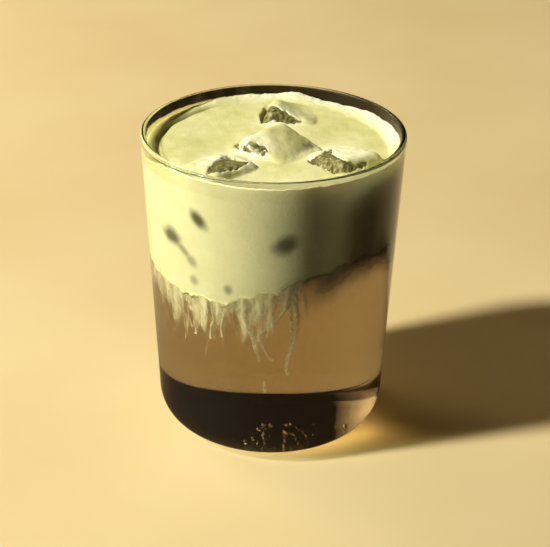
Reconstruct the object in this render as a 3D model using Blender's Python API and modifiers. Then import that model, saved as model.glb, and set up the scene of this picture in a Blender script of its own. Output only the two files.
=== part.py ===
"""Iced matcha latte in a round-bottomed glass tumbler.

A clear lower drink, an opaque matcha layer with a foam top, milk drips
hanging from that layer, and four ice cubes that break the surface.
Metres, +Z up, origin at the centre of the flat foot. The front is -Y.
"""

import math
import random

import bmesh
import bpy
from mathutils import Euler, Matrix, Vector

MM = 0.001

# Tumbler, outside
HEIGHT = 101 * MM
RIM_RADIUS = 42 * MM
WALL_FOOT_RADIUS = 36.2 * MM  # the straight outer wall carried down to the table
FOOT_CORNER = 13 * MM  # the rounded corner's reach, inwards and upwards
FOOT_CORNER_POWER = 2.3  # 2 is a circle, more is squarer
# Tumbler, inside
RIM_WALL = 1.9 * MM
FOOT_WALL = 2.6 * MM
FLOOR_THICKNESS = 3 * MM
FLOOR_CORNER = 9 * MM
GLASS_STEPS = 72

# What fills it
GAP = 0.3 * MM  # left between two pieces that touch
POCKET_GAP = 0.36 * MM  # round ice and drips, whose flat facets cut inside the curve
ABOVE = 106 * MM  # where a cutter ends, clear of the glass
BELOW = -5 * MM
DRINK_STEPS = 72
FOAM_RINGS_MM = (7, 14, 21, 28, 33, 35.5, 36.8, 38, 39.2, 41)
FOAM_LEVEL = 95.8 * MM
FOAM_BACK_RISE = 1.0 * MM  # how much higher the foam stands at the back wall
FOAM_SWELL = 0.2 * MM
# Foam clinging to the wall: degrees round from the front, height it reaches, width that rises to it
COLLAR_DEG_MM = (
    (-180, 98.0, 6.0),
    (-148, 97.9, 4.5),
    (-118, 97.9, 3.8),
    (-95, 99.2, 3.6),
    (-60, 99.0, 3.0),
    (0, 98.8, 2.2),
    (55, 98.8, 2.2),
    (90, 98.2, 4.0),
    (124, 97.9, 6.0),
    (150, 97.1, 6.0),
    (160, 97.5, 6.0),
    (168, 99.1, 6.0),
    (180, 98.0, 6.0),
)
COLLAR_RAGGED = 0.2 * MM
LAYER_RINGS_MM = (9, 18, 26, 32, 36, 40)
LAYER_LEVEL = 64 * MM  # where the matcha meets the clear drink
LAYER_TILT = 5 * MM  # low on the left, high on the right
LAYER_WAVES = ((2, 1.5 * MM), (3, 2 * MM))  # waves round the wall and their heights

# Milk drips: degrees round from the front, length below the layer, width at the top
DRIP_REACH_UP = 4 * MM
DRIP_FROM_WALL = 3.2 * MM
DRIP_SIDES = 8
DRIP_TIP = 0.34  # the tip's width as a share of the top's
DRIPS_DEG_MM = (
    (-73, 7, 3.0),
    (-63, 10, 3.4),
    (-53, 13, 4.0),
    (-43, 15, 3.4),
    (-34, 11, 3.6),
    (-25, 15, 3.8),
    (-16, 12, 3.6),
    (-7.5, 27, 3.8),
    (0.5, 11, 3.0),
    (9, 33, 3.4),
    (19, 11, 3.2),
    (43, 12, 3.4),
    (56, 16, 3.8),
)

# Ice: edge length, place across the glass, height of the top, turn about X, Y and Z
ICE_BEVEL = 3.2 * MM
ICE_MELT = 0.7 * MM  # how far melting has moved each corner
ICE_CUBES_MM_DEG = {
    "ice_back": (18, (4.5, 24.5), 100, (-8, 17, -8)),
    "ice_centre": (19.5, (1.5, -2), 100.4, (16, -3, 45)),
    "ice_front": (19, (-16.5, -19.5), 98.4, (-7, 4, 44)),
    "ice_right": (18, (23, -12.5), 99.4, (-9, 6, 38)),
}


def clear_scene():
    for obj in list(bpy.data.objects):
        bpy.data.objects.remove(obj, do_unlink=True)


def new_collection(name, hidden=False):
    collection = bpy.data.collections.new(name)
    collection.hide_render = hidden
    bpy.context.scene.collection.children.link(collection)
    return collection


def new_material(name, color, roughness, transmission=0.0, ior=1.45):
    material = bpy.data.materials.new(name)
    material.use_nodes = True
    shader = material.node_tree.nodes["Principled BSDF"]
    shader.inputs["Base Color"].default_value = (*color, 1)
    shader.inputs["Roughness"].default_value = roughness
    shader.inputs["Metallic"].default_value = 0
    shader.inputs["Transmission Weight"].default_value = transmission
    shader.inputs["IOR"].default_value = ior
    material.diffuse_color = (*color, 1)
    return material


def outer_radius(z):
    return WALL_FOOT_RADIUS + (RIM_RADIUS - WALL_FOOT_RADIUS) * z / HEIGHT


def inner_radius(z):
    """The inner wall tapers evenly from the floor's corner to the rim."""
    low = FLOOR_THICKNESS + FLOOR_CORNER
    share = (z - low) / (HEIGHT - low)
    return outer_radius(z) - (FOOT_WALL + (RIM_WALL - FOOT_WALL) * share)


def corner(radius, rise, reach, power, steps):
    """(r, z) points from a wall of this radius, down and in to a floor at height rise."""
    points = []
    for step in range(steps + 1):
        turn = math.pi / 2 * step / steps
        inward = reach * (1 - math.cos(turn) ** (2 / power))
        drop = reach * math.sin(turn) ** (2 / power)
        points.append((radius - inward, rise + reach - drop))
    return points


def lip(steps):
    """(r, z) points over the half-round lip, from the inside to the outside."""
    half = RIM_WALL / 2
    points = []
    for step in range(steps + 1):
        turn = math.pi * (1 - step / steps)
        points.append((RIM_RADIUS - half + half * math.cos(turn), HEIGHT - half + half * math.sin(turn)))
    return points


def tumbler_profile():
    outside = [(0, 0)]
    outside += corner(outer_radius(FOOT_CORNER), 0, FOOT_CORNER, FOOT_CORNER_POWER, 8)[::-1]
    low = FLOOR_THICKNESS + FLOOR_CORNER
    inside = [(0, FLOOR_THICKNESS)]
    inside += corner(inner_radius(low), FLOOR_THICKNESS, FLOOR_CORNER, 2, 7)[::-1]
    return inside + lip(6) + outside[::-1]


def drink_profile():
    """The hollow's own outline, a gap smaller, from over the rim down to the floor."""
    low = FLOOR_THICKNESS + FLOOR_CORNER
    top = HEIGHT + 1 * MM
    points = [(0, top), (inner_radius(top) - GAP, top)]
    floor = FLOOR_THICKNESS + GAP
    points += corner(inner_radius(low) - GAP, floor, FLOOR_CORNER - GAP, 2, 7)
    return points + [(0, floor)]


def new_object(name, mesh, collection):
    obj = bpy.data.objects.new(name, mesh)
    collection.objects.link(obj)
    return obj


def object_from(shape, name, collection):
    mesh = bpy.data.meshes.new(name)
    shape.to_mesh(mesh)
    shape.free()
    return new_object(name, mesh, collection)


def as_cutter(obj):
    obj.display_type = "WIRE"
    obj.hide_render = True
    return obj


def turned(name, profile, steps, collection):
    """A profile turned about Z, as an object that still holds its Screw."""
    mesh = bpy.data.meshes.new(name)
    points = [(r, 0, z) for r, z in profile]
    mesh.from_pydata(points, [(i, i + 1) for i in range(len(points) - 1)], [])
    obj = new_object(name, mesh, collection)
    screw = obj.modifiers.new("turn", "SCREW")
    screw.axis = "Z"
    screw.steps = steps
    screw.render_steps = steps
    screw.use_merge_vertices = True
    screw.merge_threshold = 0.00001
    return obj


def as_mesh(obj):
    """The object with its modifiers applied, under the same name."""
    bpy.context.view_layer.update()
    graph = bpy.context.evaluated_depsgraph_get()
    mesh = bpy.data.meshes.new_from_object(obj.evaluated_get(graph))
    obj.modifiers.clear()
    obj.data = mesh
    return obj


def smooth_step(value):
    share = min(1.0, max(0.0, value))
    return share * share * (3 - 2 * share)


def around(x, y):
    """Degrees round from the front, to the right positive."""
    return math.degrees(math.atan2(x, -y))


def collar_at(turn):
    """(height, width) of the clinging foam at this many degrees round from the front."""
    for (a, *low), (b, *high) in zip(COLLAR_DEG_MM, COLLAR_DEG_MM[1:]):
        if turn <= b:
            share = (turn - a) / (b - a)
            return [(start + (end - start) * share) * MM for start, end in zip(low, high)]


def foam_height(x, y):
    """The foam's top: nearly level, with a ragged collar that clings to the wall."""
    turn = around(x, y)
    level = FOAM_LEVEL + FOAM_BACK_RISE * smooth_step(y / RIM_RADIUS)
    level += FOAM_SWELL * math.sin(x / (7 * MM) + 0.8) * math.cos(y / (9 * MM))
    top, width = collar_at(turn)
    top += COLLAR_RAGGED * (math.sin(math.radians(turn) * 11) + 0.6 * math.sin(math.radians(turn) * 23))
    rise = smooth_step((math.hypot(x, y) - inner_radius(FOAM_LEVEL) + width) / width)
    return level + (top - level) * rise


def layer_height(x, y):
    """Where the matcha meets the clear drink: low on the left, high on the right."""
    turn = math.radians(around(x, y))
    wave = LAYER_TILT * math.sin(turn)
    wave += sum(height * math.sin(count * turn) for count, height in LAYER_WAVES)
    return LAYER_LEVEL + wave * smooth_step(math.hypot(x, y) / inner_radius(LAYER_LEVEL))


def half_space(name, height, rings_mm, offset, far, cutters):
    """A cutter from the surface z = height(x, y) + offset out to the level far."""
    sheet = [(0, 0)] + [(radius * MM, 0) for radius in rings_mm]
    lid = [(sheet[-1][0], 1), (0, 1)]
    obj = as_mesh(turned(name, sheet + lid, DRINK_STEPS, cutters))
    for vertex in obj.data.vertices:
        x, y, z = vertex.co
        vertex.co.z = far if z == 1 else height(x, y) + offset
    return as_cutter(face_outwards(obj))


def face_outwards(obj):
    """Faces turned outwards and split into triangles, which a Boolean cuts cleanly."""
    shape = bmesh.new()
    shape.from_mesh(obj.data)
    bmesh.ops.remove_doubles(shape, verts=shape.verts, dist=0.000001)
    bmesh.ops.recalc_face_normals(shape, faces=shape.faces)
    bmesh.ops.triangulate(shape, faces=shape.faces)
    shape.to_mesh(obj.data)
    shape.free()
    return obj


def combine(obj, other, operation):
    """Cuts or joins at once, so that the next Boolean starts from triangles again."""
    modifier = obj.modifiers.new(other.name, "BOOLEAN")
    modifier.operation = operation
    modifier.object = other
    modifier.solver = "EXACT"
    face_outwards(as_mesh(obj))


def drip(name, turn_deg, length, width, grow, collection):
    """A tapering finger of milk, hanging close inside the wall."""
    turn = math.radians(turn_deg)
    wall = inner_radius(LAYER_LEVEL) - DRIP_FROM_WALL
    x = wall * math.sin(turn)
    y = -wall * math.cos(turn)
    top = layer_height(x, y) + DRIP_REACH_UP
    bottom = layer_height(x, y) - length - grow
    shape = bmesh.new()
    bmesh.ops.create_cone(
        shape,
        cap_ends=True,
        segments=DRIP_SIDES,
        radius1=width * DRIP_TIP / 2 + grow,
        radius2=width / 2 + grow,
        depth=top - bottom,
    )
    lean = Vector((0, (wall + DRIP_FROM_WALL - inner_radius(bottom)) / 2, 0))
    tip = [vertex for vertex in shape.verts if vertex.co.z < 0]
    bmesh.ops.translate(shape, vec=lean, verts=tip)
    place = Matrix.Rotation(turn, 4, "Z")
    bmesh.ops.transform(shape, matrix=place, verts=shape.verts)
    bmesh.ops.translate(shape, vec=(x, y, (top + bottom) / 2), verts=shape.verts)
    return as_cutter(object_from(shape, name, collection))


def ice_cube(name, size, grow, seed, collection):
    """A melted cube: its corners pulled a little out of true, its edges well rounded."""
    edge_mm, place_mm, top_mm, turn_deg = size
    draw = random.Random(seed)
    shape = bmesh.new()
    bmesh.ops.create_cube(shape, size=edge_mm * MM + 2 * grow)
    for vertex in shape.verts:
        vertex.co += Vector([draw.uniform(-ICE_MELT, ICE_MELT) for _ in range(3)])
    bmesh.ops.bevel(
        shape,
        geom=shape.edges[:],
        offset=ICE_BEVEL,
        segments=3,
        profile=0.5,
        affect="EDGES",
        material=-1,
    )
    turn = Euler([math.radians(angle) for angle in turn_deg], "XYZ").to_matrix().to_4x4()
    bmesh.ops.transform(shape, matrix=turn, verts=shape.verts)
    rise = top_mm * MM + grow - max(vertex.co.z for vertex in shape.verts)
    place = (place_mm[0] * MM, place_mm[1] * MM, rise)
    bmesh.ops.translate(shape, vec=place, verts=shape.verts)
    return object_from(shape, name, collection)


def finish(obj, material):
    obj.data.materials.clear()
    obj.data.materials.append(material)
    obj.data.shade_smooth()
    obj.data.set_sharp_from_angle(angle=math.radians(40))


def build_tumbler(parts):
    tumbler = turned("tumbler", tumbler_profile(), GLASS_STEPS, parts)
    finish(tumbler, new_material("glass", (0.86, 0.89, 0.8), 0.02, 1, 1.5))


def build_clear_drink(parts, cutters):
    drink = face_outwards(as_mesh(turned("clear_drink", drink_profile(), DRINK_STEPS, parts)))
    above = half_space("above_layer", layer_height, LAYER_RINGS_MM, -GAP, ABOVE, cutters)
    combine(drink, above, "DIFFERENCE")
    for index, (turn, length, width) in enumerate(DRIPS_DEG_MM):
        pocket = drip(f"drip_pocket_{index}", turn, length * MM, width * MM, POCKET_GAP, cutters)
        combine(drink, pocket, "DIFFERENCE")
    finish(drink, new_material("clear_drink", (0.62, 0.5, 0.27), 0.02, 1, 1.33))


def build_matcha_layer(parts, cutters):
    layer = face_outwards(as_mesh(turned("matcha_layer", drink_profile(), DRINK_STEPS, parts)))
    below = half_space("below_layer", layer_height, LAYER_RINGS_MM, GAP, BELOW, cutters)
    combine(layer, below, "DIFFERENCE")
    above = half_space("above_foam", foam_height, FOAM_RINGS_MM, 0, ABOVE, cutters)
    combine(layer, above, "DIFFERENCE")
    for index, (turn, length, width) in enumerate(DRIPS_DEG_MM):
        combine(layer, drip(f"drip_{index}", turn, length * MM, width * MM, 0, cutters), "UNION")
    for seed, (name, size) in enumerate(ICE_CUBES_MM_DEG.items()):
        pocket = as_cutter(ice_cube(f"{name}_pocket", size, POCKET_GAP, seed, cutters))
        combine(layer, pocket, "DIFFERENCE")
    finish(layer, new_material("matcha_foam", (0.79, 0.77, 0.42), 0.55))


def build_ice(parts):
    material = new_material("ice", (0.6, 0.57, 0.42), 0.15, 0.6, 1.31)
    for seed, (name, size) in enumerate(ICE_CUBES_MM_DEG.items()):
        finish(ice_cube(name, size, 0, seed, parts), material)


def main():
    clear_scene()
    parts = new_collection("iced_matcha_latte")
    cutters = new_collection("cutters", hidden=True)
    build_tumbler(parts)
    build_clear_drink(parts, cutters)
    build_matcha_layer(parts, cutters)
    build_ice(parts)


main()
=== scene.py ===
"""Iced matcha latte in a round-bottomed glass tumbler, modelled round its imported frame.

A clear lower drink, an opaque matcha layer with a foam top, milk threads that sink from
that layer, and ice that breaks the surface. Metres, +Z up, the front is -Y.
"""

import math
import random

import bmesh
import bpy
from mathutils import Matrix, Quaternion, Vector, noise
from mathutils.bvhtree import BVHTree


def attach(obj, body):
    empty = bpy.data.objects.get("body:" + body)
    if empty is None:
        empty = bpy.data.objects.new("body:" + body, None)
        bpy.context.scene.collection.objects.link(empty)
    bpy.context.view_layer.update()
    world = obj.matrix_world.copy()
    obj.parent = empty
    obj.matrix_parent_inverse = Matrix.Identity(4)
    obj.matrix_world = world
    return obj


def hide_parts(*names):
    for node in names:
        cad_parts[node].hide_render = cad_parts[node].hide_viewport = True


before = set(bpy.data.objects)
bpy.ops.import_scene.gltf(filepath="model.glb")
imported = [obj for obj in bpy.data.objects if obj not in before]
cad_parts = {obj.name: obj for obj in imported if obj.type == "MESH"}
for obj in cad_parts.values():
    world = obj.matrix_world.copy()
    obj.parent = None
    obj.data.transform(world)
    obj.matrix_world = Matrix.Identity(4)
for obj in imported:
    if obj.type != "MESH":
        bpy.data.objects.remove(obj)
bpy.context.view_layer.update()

MM = 0.001

# Tumbler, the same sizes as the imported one
HEIGHT = 101 * MM
RIM_RADIUS = 42 * MM
WALL_FOOT_RADIUS = 36.2 * MM
FOOT_CORNER = 13 * MM
FOOT_CORNER_POWER = 2.3
RIM_WALL = 1.9 * MM
FOOT_WALL = 2.6 * MM
FLOOR_THICKNESS = 3 * MM
FLOOR_CORNER = 9 * MM
STRAIGHT_FROM = FLOOR_THICKNESS + FLOOR_CORNER  # the inner wall is straight above this
GLASS_STEPS = 256
FOOT_CORNER_STEPS = 40
FLOOR_CORNER_STEPS = 36
LIP_STEPS = 24

# How far what fills the glass reaches into its wall, so that no air shows between them
DRINK_REACH = 0.12 * MM
MATCHA_REACH = 0.15 * MM
DRINK_TOP = 88 * MM  # hidden inside the matcha

# The foam's top
FOAM_LEVEL = 95.8 * MM
FOAM_BACK_RISE = 1.0 * MM
# Ripples: their height, their size across and their seed
FOAM_RIPPLES = ((0.30 * MM, 11 * MM, 1.7), (0.10 * MM, 3.4 * MM, 5.1))
COLLAR_RIPPLES = ((0.32 * MM, 3.5 * MM, 7.7), (0.28 * MM, 1.3 * MM, 3.1))
COVER_RIPPLES = ((0.12 * MM, 2.1 * MM, 9.4),)
# Foam clinging to the wall: degrees round from the front, the height that it reaches, and the
# width that rises to it
COLLAR_DEG_MM = (
    (-180, 98.0, 6.0),
    (-148, 97.9, 4.5),
    (-118, 97.9, 3.8),
    (-95, 99.2, 3.6),
    (-60, 99.0, 3.0),
    (0, 98.8, 2.2),
    (55, 98.8, 2.2),
    (90, 98.2, 4.0),
    (124, 97.9, 6.0),
    (150, 97.1, 6.0),
    (160, 97.5, 6.0),
    (168, 99.1, 6.0),
    (180, 98.0, 6.0),
)
# Where the foam has shrunk from the wall, leaving a film on the glass
TROUGH_DEG = -104
TROUGH_SPREAD_DEG = 52
TROUGH_FADE_DEG = 18
TROUGH_PLACE = 3.5 * MM  # in from the wall
TROUGH_RIPPLES = ((0.35 * MM, 6 * MM, 2.9),)
TROUGH_INNER_WIDTH = 0.5 * MM
TROUGH_OUTER_WIDTH = 0.9 * MM
TROUGH_DEPTH = 1.0 * MM
CLINGING_SHARE = 0.35  # of the clinging foam's height that is thick there; the rest is a film
SIDE_PALENESS = 0.55  # of the matcha that shows through the wall
# Painted light: where the foam is palest, middle and reach of each, over the ice
PAINTED_LIGHT_PLACES_MM = ((2, 19, 4), (-7, -7, 5), (-15, -17, 7), (21, -9, 8))
FOAM_COVER = 0.36 * MM  # foam left lying on the ice
SKIRT_SLOPE = 2.4  # how steeply the foam falls off round the ice
SKIRT_CELLS = 5
LIFTING_DEPTH = 1.5 * MM  # ice that stays deeper than this under the foam's level lifts none of it
SWELL = 0.3 * MM  # where the foam's level meets the ice
SWELL_BAND = 1.2 * MM
BELOW_BARE_ICE = 0.6 * MM  # the foam stays this far under ice that is bare
TOP_BAND = 2 * MM  # what lies above the foam's level less this counts as its top

# Where the matcha meets the clear drink
LAYER_LEVEL = 64 * MM
LAYER_TILT = 5 * MM
LAYER_WAVES = ((2, 1.5 * MM), (3, 2 * MM))  # waves round the wall, and their height
EDGE_RIPPLES = ((1.0 * MM, 9 * MM, 1.2),)
FINGER_LENGTH = 2.4 * MM
BELLY_DEPTH = 2 * MM
BELLY_RIPPLES = ((2.2 * MM, 6 * MM, 2.2), (1.0 * MM, 2.5 * MM, 5.2))
BELLY_SHARE = 0.86  # of the radius; outside it the belly rises to its edge

EDGE_ROUNDING = 0.07 * MM  # at its foot the matcha draws back behind the drink
EDGE_FADE = 3 * MM

# The matcha's mesh
MATCHA_STEPS = 384
BOTTOM_RINGS = 24
SIDE_RINGS = 70
TOP_RING = 0.36 * MM
EDGE_RING = 0.16 * MM
EDGE_BAND = 5.2 * MM

VIEW_RISE = math.radians(26.6)  # the photograph looks down on the glass by this much

ICE_NODES = ("ice_back", "ice_centre", "ice_front", "ice_right")
ICE_SUBDIVISIONS = 3
ICE_SMOOTHINGS = 6
MELT_RIPPLES = ((0.35 * MM, 5 * MM, 0.0), (0.12 * MM, 1.6 * MM, 4.2))

# Ice that shows through the foam: its outline seen from the photograph's side, as millimetres to
# the right of the middle and up the view, how its streaks lean, and how much of it is free of
# foam specks
BARE_ICE = {
    "back": (
        [(-3.3, 99.9), (-1.3, 100.4), (1.6, 99.2), (4.9, 96.9), (8.7, 94.6), (5.8, 94.2),
         (0.4, 95.2), (-3.5, 94.4), (-3.9, 97.1)],
        0.2, 0.45,
    ),
    "centre_left": (
        [(-12.3, 84.8), (-11.4, 85.9), (-9.2, 84.5), (-6.7, 86.3), (-3.6, 84.9), (-1.4, 83.1),
         (-2.9, 82.0), (-7.3, 83.4), (-9.1, 83.7)],
        0.0, 0.05,
    ),
    "front": (
        [(-19.9, 75.3), (-18.6, 77.7), (-16.4, 80.6), (-14.0, 81.3), (-10.3, 81.4), (-7.2, 80.0),
         (-9.2, 78.2), (-12.5, 76.8), (-15.5, 76.1), (-18.5, 75.7)],
        0.0, 0.5,
    ),
    "right": (
        [(10.9, 80.2), (14.4, 82.1), (18.2, 84.3), (17.5, 82.5), (20.4, 80.4), (24.0, 79.1),
         (28.3, 79.5), (25.1, 77.4), (21.4, 76.6), (18.4, 76.6), (15.7, 78.2)],
        0.3, 0.35,
    ),
}

# Foam so thin that the ice darkens it, with painted shade that deepens to the right across the
# centre
# dome, away from the light: an outline as above, and how dark it is at its left and at its right
THIN_FOAM_AND_SHADE = {
    "centre": (
        [(-1.8, 91.2), (2.0, 91.7), (5.8, 91.0), (9.6, 88.4), (13.5, 85.2), (9.4, 83.0),
         (3.6, 80.0), (0.8, 81.0), (-0.5, 84.2), (-1.8, 87.9)],
        0.12, 1.0,
    ),
    "centre_tip": (
        [(7.9, 87.0), (10.4, 86.4), (13.0, 85.3), (10.8, 84.3), (8.4, 84.8)],
        0.85, 0.95,
    ),
}
THIN_EDGE = 0.32  # how dark the foam is at the edge of bare ice
STREAK_PIVOT = 85  # the height up the view, in millimetres, about which the streaks lean


# ---------------------------------------------------------------- small tools


def smooth_step(value):
    share = min(1.0, max(0.0, value))
    return share * share * (3 - 2 * share)


def mix(a, b, share):
    return a + (b - a) * share


def around(x, y):
    """Degrees round from the front, to the right positive."""
    return math.degrees(math.atan2(x, -y))


def degrees_apart(a, b):
    """The angle between two directions, the short way round."""
    return abs((a - b + 180) % 360 - 180)


def ripple(x, y, z, size, seed=0.0):
    """Smooth noise from -1 to 1 whose bumps are about this size across."""
    return noise.noise(Vector((x / size + seed, y / size - seed, z / size + seed * 0.37)))


def ripples(x, y, z, waves):
    """The sum of ripples given as (height, size across, seed)."""
    return sum(height * ripple(x, y, z, size, seed) for height, size, seed in waves)


def linear(code):
    """An sRGB hex colour as linear values, with an alpha of 1."""
    values = [int(code[i : i + 2], 16) / 255 for i in (1, 3, 5)]
    return (*[v / 12.92 if v <= 0.04045 else ((v + 0.055) / 1.055) ** 2.4 for v in values], 1)


def outer_radius(z):
    return WALL_FOOT_RADIUS + (RIM_RADIUS - WALL_FOOT_RADIUS) * z / HEIGHT


def inner_radius(z):
    share = (z - STRAIGHT_FROM) / (HEIGHT - STRAIGHT_FROM)
    return outer_radius(z) - (FOOT_WALL + (RIM_WALL - FOOT_WALL) * share)


def hollow_radius(z):
    """The hollow's radius, its rounded floor corner included."""
    if z >= STRAIGHT_FROM:
        return inner_radius(z)
    drop = min(1.0, (STRAIGHT_FROM - z) / FLOOR_CORNER)
    return inner_radius(STRAIGHT_FROM) - FLOOR_CORNER * (1 - math.sqrt(max(0.0, 1 - drop * drop)))


def on_wall(turn_deg, z, inward=0.0):
    """A point this far in from the inner wall."""
    turn = math.radians(turn_deg)
    radius = hollow_radius(z) - inward
    return Vector((radius * math.sin(turn), -radius * math.cos(turn), z))


def corner(radius, rise, reach, power, steps):
    """(r, z) points from a wall of this radius, down and in to a floor at height rise."""
    points = []
    for step in range(steps + 1):
        turn = math.pi / 2 * step / steps
        inward = reach * (1 - math.cos(turn) ** (2 / power))
        drop = reach * math.sin(turn) ** (2 / power)
        points.append((radius - inward, rise + reach - drop))
    return points


def flat(radius, z):
    """(r, z) points out from the middle of a flat disc.

    They lie close together at its edge, so that it shades flat.
    """
    return [(radius * share, z) for share in (0, 0.25, 0.5, 0.75, 0.9, 0.97, 0.995)]


def upright(radius_at, low, high, rows=14):
    """(r, z) points up a straight wall between two rings.

    They lie close together at its ends, so that it shades straight.
    """
    shares = [0.002, 0.008] + [row / rows for row in range(1, rows)] + [0.992, 0.998]
    heights = [mix(low, high, share) for share in shares]
    return [(radius_at(z), z) for z in heights]


def lip(steps, outward=0.0, last=1.0):
    """(r, z) points over the half-round rim from the inside out, as far as this share of it."""
    half = RIM_WALL / 2
    points = []
    for step in range(steps + 1):
        turn = math.pi * (1 - last * step / steps)
        z = HEIGHT - half + (half + outward) * math.sin(turn)
        points.append((outer_radius(min(z, HEIGHT)) - half + (half + outward) * math.cos(turn), z))
    return points


def object_from(shape, name, material):
    """A smooth-shaded object of this shape in this material."""
    mesh = bpy.data.meshes.new(name)
    shape.to_mesh(mesh)
    shape.free()
    mesh.materials.append(material)
    mesh.shade_smooth()
    obj = bpy.data.objects.new(name, mesh)
    bpy.context.scene.collection.objects.link(obj)
    return obj


def turned_shape(profile, steps):
    """A profile of (r, z) points spun once round Z, and merged where it closes."""
    shape = bmesh.new()
    points = [shape.verts.new((r, 0, z)) for r, z in profile]
    edges = [shape.edges.new(pair) for pair in zip(points, points[1:])]
    bmesh.ops.spin(
        shape,
        geom=points + edges,
        cent=(0, 0, 0),
        axis=(0, 0, 1),
        angle=math.tau,
        steps=steps,
        use_merge=True,
    )
    bmesh.ops.remove_doubles(shape, verts=shape.verts, dist=0.002 * MM)
    bmesh.ops.recalc_face_normals(shape, faces=shape.faces)
    return shape


def paint(obj, name, value_of):
    """Keeps the value at each vertex's point as an attribute that the material reads."""
    attribute = obj.data.attributes.new(name, "FLOAT", "POINT")
    attribute.data.foreach_set("value", [value_of(v.co) for v in obj.data.vertices])


def node(tree, kind, inputs=None, stops=None, **settings):
    """Adds a node with its settings; an input given as a socket is linked, any other is set."""
    made = tree.nodes.new(kind)
    for name, value in settings.items():
        setattr(made, name, value)
    for key, value in (inputs or {}).items():
        if isinstance(value, bpy.types.NodeSocket):
            tree.links.new(value, made.inputs[key])
        else:
            made.inputs[key].default_value = value
    if stops:
        ramp = made.color_ramp.elements
        while len(ramp) < len(stops):
            ramp.new(0.5)
        for element, (place, colour) in zip(ramp, stops):
            element.position = place
            element.color = linear(colour) if isinstance(colour, str) else (colour,) * 3 + (1,)
    return made


def blank_material(name):
    material = bpy.data.materials.new(name)
    material.use_nodes = True
    material.node_tree.nodes.clear()
    return material, material.node_tree


# ---------------------------------------------------------------- foam and ice heights


def layer_height(x, y):
    """Where the matcha meets the clear drink: low on the left, high on the right."""
    turn = math.radians(around(x, y))
    wave = LAYER_TILT * math.sin(turn)
    wave += sum(height * math.sin(count * turn) for count, height in LAYER_WAVES)
    return LAYER_LEVEL + wave * smooth_step(math.hypot(x, y) / inner_radius(LAYER_LEVEL))


def ice_shape(name):
    """A copy of a packed ice cube, merged, rounded further and worn uneven by melting."""
    shape = bmesh.new()
    shape.from_mesh(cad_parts[name].data)
    bmesh.ops.remove_doubles(shape, verts=shape.verts, dist=0.01 * MM)
    for _ in range(ICE_SUBDIVISIONS):
        bmesh.ops.subdivide_edges(shape, edges=shape.edges[:], cuts=1, use_grid_fill=True)
        bmesh.ops.triangulate(shape, faces=shape.faces[:])
    for _ in range(ICE_SMOOTHINGS):
        bmesh.ops.smooth_vert(
            shape, verts=shape.verts, factor=0.5, use_axis_x=True, use_axis_y=True, use_axis_z=True
        )
    shape.normal_update()
    for vertex in shape.verts:
        vertex.co += vertex.normal * ripples(*vertex.co, MELT_RIPPLES)
    return shape


def collar_at(turn):
    """(height, width) of the clinging foam at this many degrees round from the front."""
    for (a, *low), (b, *high) in zip(COLLAR_DEG_MM, COLLAR_DEG_MM[1:]):
        if turn <= b:
            return [mix(start, end, (turn - a) / (b - a)) * MM for start, end in zip(low, high)]


class Foam:
    """The height of the foam's top, lifted where ice pushes it up from below."""

    CELL = 0.5 * MM
    REACH = 44 * MM
    NO_ICE = FOAM_LEVEL - 4 * MM
    ABOVE_ALL = 120 * MM

    def __init__(self, ice_shapes):
        self.trees = [BVHTree.FromBMesh(shape) for shape in ice_shapes]
        self.tops = {}
        count = int(2 * self.REACH / self.CELL) + 1
        for i in range(count):
            for j in range(count):
                top = self.ice_top(i * self.CELL - self.REACH, j * self.CELL - self.REACH)
                if top:
                    self.tops[i, j] = top
        self.cover = self.spread()

    def ice_top(self, x, y):
        """The highest ice over this place, or 0."""
        highest = 0.0
        for tree in self.trees:
            hit = tree.ray_cast(Vector((x, y, self.ABOVE_ALL)), Vector((0, 0, -1)))[0]
            if hit and hit.z > highest:
                highest = hit.z
        return highest

    def spread(self):
        """The ice tops with a foam skirt that falls away from each."""
        cover = {}
        steps = range(-SKIRT_CELLS, SKIRT_CELLS + 1)
        falls = [
            (di, dj, SKIRT_SLOPE * self.CELL * math.hypot(di, dj)) for di in steps for dj in steps
        ]
        for (i, j), top in self.tops.items():
            if top < FOAM_LEVEL - LIFTING_DEPTH:
                continue
            for di, dj, fall in falls:
                if top - fall > cover.get((i + di, j + dj), 0):
                    cover[i + di, j + dj] = top - fall
        return cover

    def covered(self, x, y):
        """The cover's height between its cells, or low where there is no ice."""
        u, v = (x + self.REACH) / self.CELL, (y + self.REACH) / self.CELL
        i, j = int(u), int(v)

        def cell(column, row):
            return self.cover.get((column, row), self.NO_ICE)

        near, far = [mix(cell(i, row), cell(i + 1, row), u - i) for row in (j, j + 1)]
        return mix(near, far, v - j)

    def open_top(self, x, y):
        """The foam without the ice."""
        level = FOAM_LEVEL + FOAM_BACK_RISE * smooth_step(y / RIM_RADIUS)
        level += ripples(x, y, 0, FOAM_RIPPLES)
        top, width = collar_at(around(x, y))
        top += ripples(x, y, 0, COLLAR_RIPPLES)
        shrunk, off = trough(x, y)
        meniscus = smooth_step(1 - from_wall(x, y) / width)
        height = level + (top - level) * meniscus * mix(1, CLINGING_SHARE, shrunk)
        return height - TROUGH_DEPTH * shrunk * math.exp(-off * off)

    def height(self, x, y):
        """The foam over the ice, drawn back under the ice where that is bare."""
        plain = self.open_top(x, y)
        cover = self.covered(x, y) + FOAM_COVER
        swell = max(0.0, 1 - abs(cover - plain) / SWELL_BAND)
        level = max(plain, cover + ripples(x, y, 0, COVER_RIPPLES)) + SWELL * swell * swell
        bare = bareness(x, y, level)
        if bare > 0:
            ice = self.ice_top(x, y)
            under = min(plain, ice - BELOW_BARE_ICE) if ice else plain
            level = mix(level, under, bare)
        return level


def from_wall(x, y):
    """How far in from the wall a place at the foam's level lies."""
    return inner_radius(FOAM_LEVEL) - math.hypot(x, y)


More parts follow.
